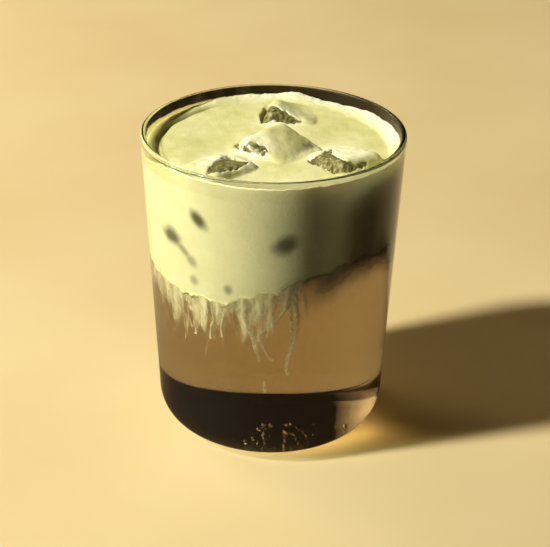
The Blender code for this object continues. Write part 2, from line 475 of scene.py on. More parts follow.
def trough(x, y):
    """How far the foam has shrunk from the wall here, and the distance across the trough."""
    apart = degrees_apart(around(x, y), TROUGH_DEG)
    shrunk = smooth_step((TROUGH_SPREAD_DEG - apart) / TROUGH_FADE_DEG)
    off = from_wall(x, y) - TROUGH_PLACE - ripples(x, y, 0, TROUGH_RIPPLES)
    return shrunk, off / (TROUGH_INNER_WIDTH if off > 0 else TROUGH_OUTER_WIDTH)


def pale_tone_and_painted_light(x, y):
    """Painted light: the foam is palest over and round the ice, along the back wall and at the
    front, over its own uneven tone.
    """
    across, along = x / MM, y / MM
    near = min(math.hypot(across - cx, along - cy) - reach for cx, cy, reach in PAINTED_LIGHT_PLACES_MM)
    ice = 0.85 * smooth_step((6 - near) / 8)
    turn = math.degrees(math.atan2(y, x))  # round from the right, to the back positive
    back = 0.9 * smooth_step((6 - from_wall(x, y) / MM) / 5)
    back *= smooth_step((turn + 15) / 25) * smooth_step((125 - turn) / 30)
    cloud = 0.5 + 0.5 * ripple(x, y, 0, 5 * MM, 4.4)
    front = 0.35 * smooth_step((-along - 18) / 14)
    return min(1.0, max(ice * (0.7 + 0.6 * cloud), back, front) + 0.12 * cloud)


def in_view(x, y, z):
    """Millimetres to the right and up, as seen from the photograph's side."""
    return x / MM, (y * math.sin(VIEW_RISE) + z * math.cos(VIEW_RISE)) / MM


def spans(outline, across, up, margin):
    """Whether a place lies within this far of an outline's box."""
    return all(
        min(p[axis] for p in outline) - margin < place < max(p[axis] for p in outline) + margin
        for axis, place in enumerate((across, up))
    )


def bareness(x, y, z):
    """1 where the ice is bare, seen from the photograph's side, ragged at the edges."""
    across, up = in_view(x, y, z)
    bare = 0.0
    for outline, lean, holes in BARE_ICE.values():
        if not spans(outline, across, up, 1):
            continue
        inside = inside_by(outline, across, up)
        along = across + lean * (up - STREAK_PIVOT)
        grain = noise.noise(Vector((along / 1.1, up / 2.6, 3.3)))
        speck = noise.noise(Vector((across / 0.9, up / 0.8, 8.1)))
        edge = smooth_step((inside + 0.65 * grain) / 1.1 + 0.5)
        foam_specks = smooth_step((speck - holes) / 0.3)
        bare = max(bare, edge * (1 - foam_specks))
    return bare


def thinness_and_painted_shade(x, y, z):
    """How much the ice under the foam darkens it, painted shade across the centre dome included."""
    across, up = in_view(x, y, z)
    thin = 0.0
    for outline, left, right in THIN_FOAM_AND_SHADE.values():
        if spans(outline, across, up, 2):
            low, high = min(p[0] for p in outline), max(p[0] for p in outline)
            inside = inside_by(outline, across, up)
            inside += 0.5 * noise.noise(Vector((across, up / 2, 1.1)))
            share = min(1.0, max(0.0, (across - low) / (high - low)))
            thin = max(thin, smooth_step((inside + 0.9) / 2.2) * mix(left, right, share**1.5))
    for outline, _, _ in BARE_ICE.values():
        if spans(outline, across, up, 2):
            inside = inside_by(outline, across, up)
            inside += 0.7 * noise.noise(Vector((across, up / 2, 5.1)))
            thin = max(thin, THIN_EDGE * smooth_step((inside + 1.3) / 1.8))
    return thin


def inside_by(outline, x, y):
    """Distance inside an outline, in its own units; negative outside."""
    inside = False
    nearest = math.inf
    for (ax, ay), (bx, by) in zip(outline, outline[1:] + outline[:1]):
        if (ay > y) != (by > y) and x < (bx - ax) * (y - ay) / (by - ay) + ax:
            inside = not inside
        dx, dy = bx - ax, by - ay
        share = max(0.0, min(1.0, ((x - ax) * dx + (y - ay) * dy) / (dx * dx + dy * dy)))
        nearest = min(nearest, math.hypot(x - ax - share * dx, y - ay - share * dy))
    return nearest if inside else -nearest


# ---------------------------------------------------------------- materials


def clear_surface(tree, ior, wave, strength, depth, shade):
    """A polished clear surface, slightly wavy, that lets lamp light through in this shade."""
    bump = node(
        tree,
        "ShaderNodeBump",
        {"Height": wave.outputs["Fac"], "Strength": strength, "Distance": depth},
    )
    clear = node(
        tree,
        "ShaderNodeBsdfPrincipled",
        {
            "Base Color": (1, 1, 1, 1),
            "Roughness": 0.0,
            "IOR": ior,
            "Transmission Weight": 1,
            "Normal": bump.outputs["Normal"],
        },
    )
    way = node(tree, "ShaderNodeBsdfTransparent", {"Color": linear(shade)})
    lamp_ray = node(tree, "ShaderNodeLightPath").outputs["Is Shadow Ray"]
    both = node(tree, "ShaderNodeMixShader", {0: lamp_ray, 1: clear.outputs[0], 2: way.outputs[0]})
    return both.outputs[0]


def soda_lime_glass():
    """Pressed soda-lime glass: clear, faintly olive in its thickness, with a slightly wavy skin."""
    material, tree = blank_material("soda_lime_glass")
    place = node(tree, "ShaderNodeTexCoord").outputs["Object"]
    wave = node(tree, "ShaderNodeTexNoise", {"Vector": place, "Scale": 70, "Detail": 1})
    surface = clear_surface(tree, 1.5, wave, 0.05, 0.5 * MM, "#f4f4f0")
    tint = node(tree, "ShaderNodeVolumeAbsorption", {"Color": linear("#8a8a52"), "Density": 52})
    node(tree, "ShaderNodeOutputMaterial", {"Surface": surface, "Volume": tint.outputs[0]})
    return material


def clear_sweet_drink():
    """Syrup and melted ice with a little tea in it: clear, and tan through its full depth."""
    material, tree = blank_material("clear_sweet_drink")
    place = node(tree, "ShaderNodeTexCoord").outputs["Object"]
    swirl = node(tree, "ShaderNodeTexNoise", {"Vector": place, "Scale": 110, "Detail": 2})
    surface = clear_surface(tree, 1.33, swirl, 0.03, 0.4 * MM, "#f6f3e6")
    tint = node(tree, "ShaderNodeVolumeAbsorption", {"Color": linear("#bf9b34"), "Density": 22.5})
    node(tree, "ShaderNodeOutputMaterial", {"Surface": surface, "Volume": tint.outputs[0]})
    return material


def painted_over(tree, attribute, under, over):
    """A colour with another laid over it as strongly as a painted attribute says."""
    strength = node(tree, "ShaderNodeAttribute", attribute_name=attribute).outputs["Fac"]
    mixed = node(
        tree, "ShaderNodeMix", {0: strength, 6: under, 7: linear(over)}, data_type="RGBA"
    )
    return mixed.outputs[2]


def matcha_milk_foam():
    """Matcha whisked into milk: dull pale yellow-green, a little translucent, full of bubbles."""
    material, tree = blank_material("matcha_milk_foam")
    place = node(tree, "ShaderNodeTexCoord").outputs["Object"]
    cloud = node(
        tree, "ShaderNodeTexNoise", {"Vector": place, "Scale": 120, "Detail": 4, "Roughness": 0.6}
    )
    colour = node(
        tree,
        "ShaderNodeValToRGB",
        {"Fac": cloud.outputs["Fac"]},
        stops=[(0.32, "#ccc884"), (0.5, "#d6d290"), (0.68, "#e2dea4")],
    ).outputs["Color"]
    # painted light: paler over the ice, along the back wall and at the front, and one paler tone on
    # the side
    colour = painted_over(tree, "pale", colour, "#f6f2cc")
    # matcha grains about 0.7 mm apart, coarser than real so that they show
    grain = node(tree, "ShaderNodeTexNoise", {"Vector": place, "Scale": 1400, "Detail": 2})
    grains = node(
        tree,
        "ShaderNodeValToRGB",
        {"Fac": grain.outputs["Fac"]},
        stops=[(0.30, 0.72), (0.42, 1.0)],
    )
    colour = node(
        tree,
        "ShaderNodeMix",
        {0: 0.2, 6: colour, 7: grains.outputs["Color"]},
        data_type="RGBA",
        blend_type="MULTIPLY",
    ).outputs[2]
    # painted shade: dark spots where ice touches the glass and a painted shadow along the trough
    # below the clinging foam; then ice darkens the foam where it is thin
    colour = painted_over(tree, "painted_shade", colour, "#3a2f12")
    # the thin foam's darkening is also painted shade across the centre dome's face that turns from
    # the light
    colour = painted_over(tree, "thin", colour, "#4a4017")
    # bubbles of 0.5 mm
    bubbles = node(
        tree, "ShaderNodeTexVoronoi", {"Vector": place, "Scale": 2000}, feature="SMOOTH_F1"
    )
    fine = node(tree, "ShaderNodeTexNoise", {"Vector": place, "Scale": 900, "Detail": 3})
    height = node(
        tree,
        "ShaderNodeMath",
        {0: bubbles.outputs["Distance"], 1: fine.outputs["Fac"]},
        operation="ADD",
    )
    bump = node(
        tree,
        "ShaderNodeBump",
        {"Height": height.outputs[0], "Strength": 0.25, "Distance": 0.25 * MM},
    )
    foam = node(
        tree,
        "ShaderNodeBsdfPrincipled",
        {
            "Base Color": colour,
            "Roughness": 0.6,
            "IOR": 1.35,
            "Specular IOR Level": 0.35,
            "Subsurface Weight": 0.3,
            "Subsurface Radius": (1.0, 0.8, 0.35),
            "Subsurface Scale": 1.5 * MM,
            "Normal": bump.outputs["Normal"],
        },
    )
    node(tree, "ShaderNodeOutputMaterial", {"Surface": foam.outputs[0]})
    return material


def melting_ice():
    """Ice wet with matcha: dark olive where the drink shows through, with films of foam on it."""
    material, tree = blank_material("melting_ice")
    place = node(tree, "ShaderNodeTexCoord").outputs["Object"]
    streak = node(tree, "ShaderNodeMapping", {"Vector": place, "Scale": (1.0, 1.0, 0.4)}).outputs[0]
    film = node(tree, "ShaderNodeTexNoise", {"Vector": streak, "Scale": 900, "Detail": 3})
    colour = node(
        tree,
        "ShaderNodeValToRGB",
        {"Fac": film.outputs["Fac"]},
        stops=[(0.36, "#4c4626"), (0.5, "#726b40"), (0.66, "#a59e6c")],
    )
    bump = node(
        tree,
        "ShaderNodeBump",
        {"Height": film.outputs["Fac"], "Strength": 0.15, "Distance": 0.3 * MM},
    )
    ice = node(
        tree,
        "ShaderNodeBsdfPrincipled",
        {
            "Base Color": colour.outputs["Color"],
            "Roughness": 0.4,
            "IOR": 1.31,
            "Coat Weight": 0.04,
            "Coat Roughness": 0.08,
            "Normal": bump.outputs["Normal"],
        },
    )
    node(tree, "ShaderNodeOutputMaterial", {"Surface": ice.outputs[0]})
    return material


def sinking_milk():
    """Milk sinking in syrup: cream, soft-edged and half see-through."""
    material, tree = blank_material("sinking_milk")
    place = node(tree, "ShaderNodeTexCoord").outputs["Object"]
    cloud = node(tree, "ShaderNodeTexNoise", {"Vector": place, "Scale": 500, "Detail": 3})
    colour = node(
        tree,
        "ShaderNodeValToRGB",
        {"Fac": cloud.outputs["Fac"]},
        stops=[(0.35, "#d8cf9a"), (0.65, "#f2ecc6")],
    )
    facing = node(tree, "ShaderNodeLayerWeight", {"Blend": 0.5}).outputs["Facing"]
    thick = node(
        tree,
        "ShaderNodeMapRange",
        {0: facing, "From Min": 0.05, "From Max": 0.75, "To Min": 0.62, "To Max": 0.0},
    ).outputs[0]
    patchy = node(
        tree,
        "ShaderNodeMapRange",
        {0: cloud.outputs["Fac"], "From Min": 0.35, "From Max": 0.6, "To Min": 0.45, "To Max": 1.0},
    ).outputs[0]
    fade = node(tree, "ShaderNodeAttribute", attribute_name="body").outputs["Fac"]
    alpha = node(tree, "ShaderNodeMath", {0: thick, 1: patchy}, operation="MULTIPLY").outputs[0]
    alpha = node(tree, "ShaderNodeMath", {0: alpha, 1: fade}, operation="MULTIPLY").outputs[0]
    milk = node(
        tree,
        "ShaderNodeBsdfPrincipled",
        {
            "Base Color": colour.outputs["Color"],
            "Roughness": 0.7,
            "Specular IOR Level": 0.0,
            "Alpha": alpha,
        },
    )
    node(tree, "ShaderNodeOutputMaterial", {"Surface": milk.outputs[0]})
    return material


def milk_veil():
    """Milk spread thin in the drink under the matcha: drawn-out clouds that fade downwards."""
    material, tree = blank_material("milk_veil")
    place = node(tree, "ShaderNodeTexCoord").outputs["Object"]
    # streaks about 3 mm wide and 15 mm long, bent by slower eddies
    eddy = node(tree, "ShaderNodeTexNoise", {"Vector": place, "Scale": 90, "Detail": 2})
    bent = node(
        tree,
        "ShaderNodeMixRGB",
        {0: 0.006, 1: place, 2: eddy.outputs["Color"]},
        blend_type="ADD",
    ).outputs[0]
    drawn = node(tree, "ShaderNodeMapping", {"Vector": bent, "Scale": (1, 1, 0.2)}).outputs[0]
    streaks = node(
        tree, "ShaderNodeTexNoise", {"Vector": drawn, "Scale": 330, "Detail": 3, "Roughness": 0.5}
    )
    # milk shows only where a streak is stronger than the depth under the matcha asks for
    below = node(tree, "ShaderNodeAttribute", attribute_name="below").outputs["Fac"]
    needed = node(
        tree,
        "ShaderNodeValToRGB",
        {"Fac": below},
        stops=[(0.0, 0.8), (0.1, 0.45), (0.16, 0.25), (0.3, 0.45), (0.55, 0.6), (1.0, 0.78)],
    ).outputs["Color"]
    over = node(
        tree, "ShaderNodeMath", {0: streaks.outputs["Fac"], 1: needed}, operation="SUBTRACT"
    ).outputs[0]
    alpha = node(
        tree,
        "ShaderNodeMapRange",
        {0: over, "From Min": 0.0, "From Max": 0.30, "To Min": 0.0, "To Max": 0.7},
    ).outputs[0]
    lit = node(tree, "ShaderNodeAttribute", attribute_name="lit").outputs["Fac"]
    alpha = node(tree, "ShaderNodeMath", {0: alpha, 1: lit}, operation="MULTIPLY").outputs[0]
    # on the shaded side the milk hangs in an even cloud instead
    cloud = node(tree, "ShaderNodeAttribute", attribute_name="cloud").outputs["Fac"]
    uneven = node(
        tree,
        "ShaderNodeMapRange",
        {0: eddy.outputs["Fac"], "From Min": 0.3, "From Max": 0.7, "To Min": 0.7, "To Max": 1.2},
    ).outputs[0]
    cloud = node(
        tree, "ShaderNodeMath", {0: cloud, 1: uneven}, operation="MULTIPLY", use_clamp=True
    ).outputs[0]
    alpha = node(tree, "ShaderNodeMath", {0: alpha, 1: cloud}, operation="MAXIMUM").outputs[0]
    colour = node(
        tree,
        "ShaderNodeValToRGB",
        {"Fac": streaks.outputs["Fac"]},
        stops=[(0.4, "#cfc795"), (0.7, "#efe9c2")],
    )
    milk = node(
        tree,
        "ShaderNodeBsdfPrincipled",
        {
            "Base Color": colour.outputs["Color"],
            "Roughness": 0.8,
            "Specular IOR Level": 0.0,
            "Alpha": alpha,
        },
    )
    node(tree, "ShaderNodeOutputMaterial", {"Surface": milk.outputs[0]})
    return material


def shade_film_and_clinging_foam():
    """Painted shade on the glass above the foam: a dark brown wash, streaked and thin at its top,
    with foam clinging to it in places.
    """
    material, tree = blank_material("shade_film_and_clinging_foam")
    place = node(tree, "ShaderNodeTexCoord").outputs["Object"]
    drawn = node(tree, "ShaderNodeMapping", {"Vector": place, "Scale": (1, 1, 0.5)}).outputs[0]
    wash = node(tree, "ShaderNodeTexNoise", {"Vector": drawn, "Scale": 260, "Detail": 3})
    # the sheet's near-black browns are painted shade
    colour = node(
        tree,
        "ShaderNodeValToRGB",
        {"Fac": wash.outputs["Fac"]},
        stops=[(0.35, "#1a1206"), (0.7, "#302612")],
    )
    strength = node(tree, "ShaderNodeAttribute", attribute_name="strength").outputs["Fac"]
    uneven = node(
        tree,
        "ShaderNodeMapRange",
        {0: wash.outputs["Fac"], "From Min": 0.3, "From Max": 0.6, "To Min": 0.95, "To Max": 1.0},
    ).outputs[0]
    alpha = node(tree, "ShaderNodeMath", {0: strength, 1: uneven}, operation="MULTIPLY").outputs[0]
    film = node(
        tree,
        "ShaderNodeBsdfPrincipled",
        {
            "Base Color": colour.outputs["Color"],
            "Roughness": 0.5,
            "Specular IOR Level": 0.1,
            "Alpha": alpha,
        },
    )
    # the foam that still clings in a thin layer glows with the light behind it
    glow = node(tree, "ShaderNodeBsdfTranslucent", {"Color": linear("#cfc888")})
    front = node(tree, "ShaderNodeBsdfDiffuse", {"Color": linear("#a79e5c")})
    clinging = node(
        tree, "ShaderNodeMixShader", {0: 0.5, 1: glow.outputs[0], 2: front.outputs[0]}
    ).outputs[0]
    gaps = node(tree, "ShaderNodeBsdfTransparent", {"Color": linear("#fffbe8")}).outputs[0]
    clinging = node(tree, "ShaderNodeMixShader", {0: 0.5, 1: clinging, 2: gaps}).outputs[0]
    foamy = node(tree, "ShaderNodeAttribute", attribute_name="foamy").outputs["Fac"]
    both = node(tree, "ShaderNodeMixShader", {0: foamy, 1: film.outputs[0], 2: clinging})
    node(tree, "ShaderNodeOutputMaterial", {"Surface": both.outputs[0]})
    return material


def trapped_air():
    """Air bubbles in the drink: bright-rimmed beads, because light bends outwards from them."""
    material, tree = blank_material("trapped_air")
    place = node(tree, "ShaderNodeTexCoord").outputs["Object"]
    skin = node(tree, "ShaderNodeTexNoise", {"Vector": place, "Scale": 600})
    surface = clear_surface(tree, 0.75, skin, 0.05, 0.1 * MM, "#ffffff")
    node(tree, "ShaderNodeOutputMaterial", {"Surface": surface})
    return material


def sand_paper_floor():
    """Matt sand-coloured paper, with a faint unevenness of tone."""
    material, tree = blank_material("sand_paper_floor")
    place = node(tree, "ShaderNodeTexCoord").outputs["Object"]
    tone = node(tree, "ShaderNodeTexNoise", {"Vector": place, "Scale": 9, "Detail": 3})
    colour = node(
        tree,
        "ShaderNodeValToRGB",
        {"Fac": tone.outputs["Fac"]},
        stops=[(0.35, "#d8c08e"), (0.65, "#dec898")],
    )
    # light that has already left a matt surface meets a darker floor, so the shaded side stays deep
    rays = node(tree, "ShaderNodeLightPath")
    bounced = node(
        tree, "ShaderNodeMath", {0: rays.outputs["Diffuse Depth"], 1: 1.0}, operation="MINIMUM"
    ).outputs[0]
    # the mirror image of the near floor is as deep, so that the glass keeps the colours behind it
    along = node(tree, "ShaderNodeSeparateXYZ", {0: place}).outputs["Y"]
    near = node(
        tree,
        "ShaderNodeMapRange",
        {0: along, "From Min": 0.0, "From Max": 140 * MM, "To Min": 0.92, "To Max": 0.0},
    ).outputs[0]
    mirrored = node(
        tree, "ShaderNodeMath", {0: rays.outputs["Glossy Depth"], 1: near}, operation="MULTIPLY"
    ).outputs[0]
    deep = node(
        tree, "ShaderNodeMath", {0: bounced, 1: mirrored}, operation="MAXIMUM", use_clamp=True
    ).outputs[0]
    seen = node(
        tree,
        "ShaderNodeMix",
        {0: deep, 6: colour.outputs["Color"], 7: linear("#3f2610")},
        data_type="RGBA",
    ).outputs[2]
    floor = node(tree, "ShaderNodeBsdfPrincipled", {"Base Color": seen, "Roughness": 0.8})
    node(tree, "ShaderNodeOutputMaterial", {"Surface": floor.outputs[0]})
    return material


# ---------------------------------------------------------------- pieces


def make_tumbler():
    """The glass, spun from one profile: up the inside, over the lip and down the outside."""
    wall_foot = outer_radius(FOOT_CORNER)
    outside = flat(wall_foot - FOOT_CORNER, 0)
    outside += corner(wall_foot, 0, FOOT_CORNER, FOOT_CORNER_POWER, FOOT_CORNER_STEPS)[::-1]
    hollow_foot = inner_radius(STRAIGHT_FROM)
    inside = flat(hollow_foot - FLOOR_CORNER, FLOOR_THICKNESS)
    inside += corner(hollow_foot, FLOOR_THICKNESS, FLOOR_CORNER, 2, FLOOR_CORNER_STEPS)[::-1]
    lip_foot = HEIGHT - RIM_WALL / 2
    inside += upright(inner_radius, STRAIGHT_FROM, lip_foot)
    outside += upright(outer_radius, FOOT_CORNER, lip_foot)
    shape = turned_shape(inside + lip(LIP_STEPS) + outside[::-1], GLASS_STEPS)
    glass = object_from(shape, "glass_tumbler", soda_lime_glass())
    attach(glass, "root")
    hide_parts("tumbler")


def make_clear_drink():
    """The drink, spun from one profile that reaches just into the glass all round."""

    def radius(z):
        return inner_radius(z) + DRINK_REACH

    profile = flat(radius(DRINK_TOP), DRINK_TOP) + [(radius(DRINK_TOP), DRINK_TOP)]
    profile += upright(radius, STRAIGHT_FROM, DRINK_TOP)[::-1]
    floor = FLOOR_THICKNESS - DRINK_REACH
    round_corner = FLOOR_CORNER + DRINK_REACH
    profile += corner(radius(STRAIGHT_FROM), floor, round_corner, 2, FLOOR_CORNER_STEPS)
    profile += flat(inner_radius(STRAIGHT_FROM) - FLOOR_CORNER, floor)[::-1]
    shape = turned_shape(profile, GLASS_STEPS)
    drink = object_from(shape, "drink_below_matcha", clear_sweet_drink())
    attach(drink, "root")
    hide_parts("clear_drink")


# Painted shade where ice touches the glass: degrees round, then in millimetres the height, half
# width and half height, then the slant and the strength
ICE_SHADE_SPOTS = (
    (-34, 85.1, 2.9, 3.2, 0.5, 0.9),
    (-51, 75.9, 4.6, 3.1, 0.1, 0.85),
    (-43.5, 72.6, 2.2, 2.6, 0.9, 0.55),
    (-39, 70.0, 2.2, 2.2, 0.4, 0.5),
    (6, 80.0, 4.2, 3.7, -0.35, 0.85),
    (-38, 63.2, 1.7, 1.8, 0.0, 0.45),
    (-20, 63.0, 1.6, 1.7, 0.0, 0.6),
)
SPOTTED_HEIGHTS = (58 * MM, 90 * MM)
SPOTTED_TURNS_DEG = (-65, 20)
SPOTTED_FROM_RADIUS = 34 * MM
# the painted shadow that the clinging foam casts along the trough
TROUGH_SHADOW_DARKNESS = 0.7
TROUGH_SHADOW_SHARE = 0.7  # of the trough's width


def painted_shade_strength(point):
    """Painted shade on the matcha: dark over ice at its side, and a painted shadow along the trough
    in its top.
    """
    x, y, z = point
    if on_top(point):
        shrunk, off = trough(x, y)
        return TROUGH_SHADOW_DARKNESS * shrunk * math.exp(-((off / TROUGH_SHADOW_SHARE) ** 2))
    radius, place = math.hypot(x, y), around(x, y)
    low, high = SPOTTED_HEIGHTS
    left, right = SPOTTED_TURNS_DEG
    if not low < z < high or radius < SPOTTED_FROM_RADIUS or not left < place < right:
        return 0.0
    strongest = 0.0
    for turn, height, half_width, half_height, slant, strength in ICE_SHADE_SPOTS:
        up = z / MM - height
        across = radius * math.radians(place - turn) / MM + slant * up
        wobble = 0.18 * ripple(x, y, z, 3 * MM, turn)
        far = math.hypot(across / half_width, up / half_height) + wobble
        strongest = max(strongest, strength * smooth_step((1.35 - far) / 1.05))
    return strongest


def on_top(point):
    """Whether a point of the matcha belongs to its top, not to its side."""
    return point[2] > FOAM_LEVEL - TOP_BAND


def top_rings():
    """Radii from 1 to 0 across the foam, closer together near the wall."""
    wall = inner_radius(FOAM_LEVEL)
    radii = []
    radius = wall
    while radius > 0.5 * TOP_RING:
        radii.append(radius / wall)
        radius -= EDGE_RING if wall - radius < EDGE_BAND else TOP_RING
    return radii


def bottom_edge(turn_deg):
    """The height of the matcha's lower edge at the wall, with short fingers."""
    x, y, _ = on_wall(turn_deg, LAYER_LEVEL)
    fingers = max(0.0, ripple(x, y, 0, 2.4 * MM, 6.2)) + max(0.0, ripple(x, y, 0, 5 * MM, 8.8))
    return layer_height(x, y) + ripples(x, y, 0, EDGE_RIPPLES) - FINGER_LENGTH * fingers


def under_side(x, y, radius, edge):
    """The matcha's hidden underside: it bellies down, ragged, and meets its edge at the wall."""
    belly = layer_height(x, y) - BELLY_DEPTH + ripples(x, y, 0, BELLY_RIPPLES)
    return mix(belly, edge, smooth_step((radius - BELLY_SHARE) / (1 - BELLY_SHARE)))


TIGHT = 0.998  # where the rings that keep the drum's lower edge sharp lie


def make_matcha(foam):
    """The matcha layer: a unit drum spun from rings, then drawn out to its heights."""
    profile = [(step / BOTTOM_RINGS, -1) for step in range(BOTTOM_RINGS)]
    profile += [(TIGHT, -1), (1, -1), (1, -TIGHT)]
    profile += [(1, -1 + 2 * step / SIDE_RINGS) for step in range(1, SIDE_RINGS)]
    profile += [(radius, 1) for radius in top_rings()] + [(0, 1)]
    shape = turned_shape(profile, MATCHA_STEPS)
    wall = inner_radius(FOAM_LEVEL)
    wall_edges = {}  # the lower and upper edge at the wall, by degrees round
    for vertex in shape.verts:
        x, y, z = vertex.co
        radius = math.hypot(x, y)
        if z > 0.999 and radius < 0.999:
            x, y = x * wall, y * wall
            vertex.co = (x, y, foam.height(x, y))
            continue
        turn = round(around(x, y), 3)
        if turn not in wall_edges:
            top = on_wall(turn, FOAM_LEVEL)
            wall_edges[turn] = (bottom_edge(turn), foam.height(top.x, top.y))
        low, high = wall_edges[turn]
        if z < -0.9999 and radius < 0.999:
            scale = inner_radius(LAYER_LEVEL) - EDGE_ROUNDING * radius
            x, y = x * scale, y * scale
            vertex.co = (x, y, under_side(x, y, radius, low))
        else:
            height = mix(low, high, (z + 1) / 2)
            rounding = EDGE_ROUNDING * (1 - smooth_step((height - low) / EDGE_FADE)) ** 2
            scale = (inner_radius(height) + MATCHA_REACH - rounding) / radius
            vertex.co = (x * scale, y * scale, height)
    bmesh.ops.recalc_face_normals(shape, faces=shape.faces)
    matcha = object_from(shape, "matcha_and_foam", matcha_milk_foam())
    paint(matcha, "painted_shade", painted_shade_strength)
    # painted light on the top; the side gets one paler tone throughout
    paint(matcha, "pale", lambda p: pale_tone_and_painted_light(p.x, p.y) if on_top(p) else SIDE_PALENESS)
    paint(matcha, "thin", lambda p: thinness_and_painted_shade(*p) if on_top(p) else 0.0)
    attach(matcha, "root")
    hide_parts("matcha_layer")


def make_ice(shapes):
    """Each cube of the foam's ice, in place of its packed one."""
    material = melting_ice()
    for name, shape in zip(ICE_NODES, shapes):
        cube = object_from(shape, name + "_cube", material)
        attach(cube, "root")
        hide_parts(name)


THINNEST = 0.02 * MM  # the least radius of a thread


def add_strand(shape, path, radii, sides):
    """A tube along a path, closed at both ends; its rings are bridged one to the next."""
    rings = []
    up = Vector((0, 0, 1))
    for index, point in enumerate(path):
        ahead = path[min(index + 1, len(path) - 1)] - path[max(index - 1, 0)]
        turn = up.rotation_difference(ahead.normalized()).to_matrix().to_4x4()
        made = bmesh.ops.create_circle(
            shape,
            cap_ends=index in (0, len(path) - 1),
            segments=sides,
            radius=max(radii[index], THINNEST),
            matrix=Matrix.Translation(point) @ turn,
        )
        rings.append(made["verts"])
    for lower, upper in zip(rings, rings[1:]):
        edges = [
            edge
            for ring in (lower, upper)
            for edge in {e for v in ring for e in v.link_edges}
            if edge.verts[0] in ring and edge.verts[1] in ring
        ]
        bmesh.ops.bridge_loops(shape, edges=edges)


# Long milk threads: the places that they pass (degrees round and millimetres up), then in
# millimetres how far in they hang and their width at the top and at the tip
LONG_THREADS = (
    ([(-16, 62), (-13, 54), (-9, 47), (-6.5, 41), (-6, 37.3)], 1.6, 3.6, 1.1),
    ([(-19, 62), (-15, 54), (-11, 48), (-8, 43), (-6.8, 40)], 2.2, 3.0, 1.2),
    ([(-4, 62), (-5, 54), (-6, 48), (-4, 43), (-1.5, 40), (1.5, 38.2)], 1.2, 2.6, 0.9),
    ([(12, 64), (7, 57), (2, 52.5), (-3, 49.5), (-7, 45), (-8, 42)], 2.0, 2.0, 1.0),
    ([(11, 62), (12.5, 52), (11.5, 44), (9, 37), (8.7, 32.5)], 1.5, 2.6, 1.3),
    ([(8, 60), (10.5, 50), (9.5, 42), (7.6, 35)], 2.2, 2.2, 1.2),
    ([(-3.4, 30.5), (-3.1, 29), (-2.9, 27.6), (-2.8, 26.4)], 1.4, 1.0, 1.3),
    ([(-30, 60), (-29, 52), (-31, 46), (-30.5, 43.5)], 0.9, 1.3, 0.8),
    ([(-45, 58), (-41, 51), (-40, 46), (-39, 43.5)], 0.8, 1.5, 0.8),
    ([(-36, 60), (-35.5, 52), (-36, 47.5)], 0.7, 1.2, 0.7),
    ([(-22, 62), (-23, 54), (-25, 48.5), (-24, 45)], 1.0, 1.3, 0.75),
)
LONG_THREAD_RINGS = 26
LONG_THREAD_SIDES = 8
LONG_THREAD_BEAD = 0.5 * MM  # wider than its thread by this much
SHORT_THREADS = 72
SHORT_THREAD_RINGS = 14
SHORT_THREAD_SIDES = 7
SHORT_THREAD_BEAD = 0.3 * MM
BARE_SIDE_DEG = (12, 130)  # no short threads hang here
FULL_LENGTH_DEG = (-80, 20)  # here they hang at full length
SHORTER_SHARE = 0.6  # of that length elsewhere


def smooth_path(points, count):
    """Evenly spaced points on a smooth curve through (degrees, height) places."""
    ends = [points[0], *points, points[-1]]
    path = []
    for step in range(count):
        place = step / (count - 1) * (len(points) - 1)
        index = min(int(place), len(points) - 2)
        t = place - index
        a, b, c, d = ends[index : index + 4]
        path.append(
            tuple(
                0.5
                * (
                    2 * b[k]
                    + (c[k] - a[k]) * t
                    + (2 * a[k] - 5 * b[k] + 4 * c[k] - d[k]) * t * t
                    + (3 * b[k] - a[k] - 3 * c[k] + d[k]) * t**3
                )
                for k in (0, 1)
            )
        )
    return path


def thread_radii(count, top, tip, bead):
    """Radii, from these widths, of a thread that thins downwards and ends in a small bead."""
    radii = []
    for step in range(count):
        share = step / (count - 1)
        width = mix(top, tip, smooth_step(share * 1.3))
        drop = bead * math.exp(-(((share - 0.93) / 0.05) ** 2))
        end = math.sqrt(max(0.0, 1 - max(0.0, (share - 0.9) / 0.1) ** 2))
        radii.append((width + drop) / 2 * end)
    return radii


def add_long_threads(shape):
    """The strands that can be told apart, each along its own path."""
    for points, inward, top, tip in LONG_THREADS:
        path = []
        for turn, height in smooth_path(points, LONG_THREAD_RINGS):
            sway = 0.35 * ripple(turn * 0.1, height * 0.1, inward, 0.4, 2.0)
            path.append(on_wall(turn + sway * 2, height * MM, (inward + 0.4 * sway) * MM))
        radii = thread_radii(LONG_THREAD_RINGS, top * MM, tip * MM, LONG_THREAD_BEAD)
        add_strand(shape, path, radii, LONG_THREAD_SIDES)


